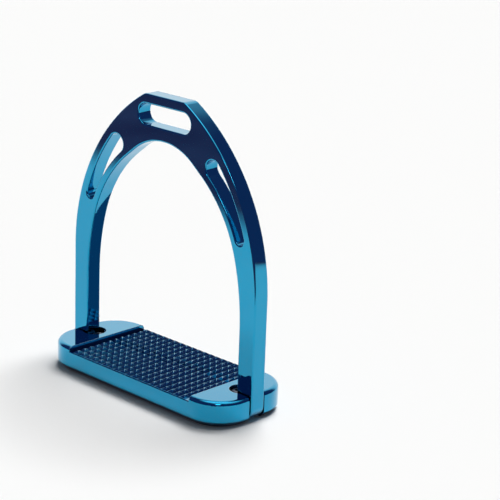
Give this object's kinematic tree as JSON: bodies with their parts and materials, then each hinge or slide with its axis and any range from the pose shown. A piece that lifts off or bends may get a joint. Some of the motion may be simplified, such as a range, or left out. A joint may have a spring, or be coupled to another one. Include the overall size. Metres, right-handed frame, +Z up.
{
  "type": "stirrup iron",
  "caption": "Wide-tread stirrup iron: flat plate bow with leather slot and shoulder windows, clamped into a rounded footplate with a studded grip field.",
  "frame": {"origin": "middle of the footplate's underside", "axes": "+X along the footplate, +Y from front to back, +Z up; the bow stands in the XZ plane"},
  "size_m": [0.1424, 0.057, 0.162],
  "materials": {
    "bow_metal": "mirror polished under a transparent blue lacquer",
    "footplate_metal": "mirror polished under a transparent blue lacquer, milled studs",
    "screw_steel": "dark plated steel"
  },
  "bodies": {
    "root": {"stirrup_bow": "bow_metal", "footplate": "footplate_metal", "clamp_screws": "screw_steel"}
  },
  "joints": []
}
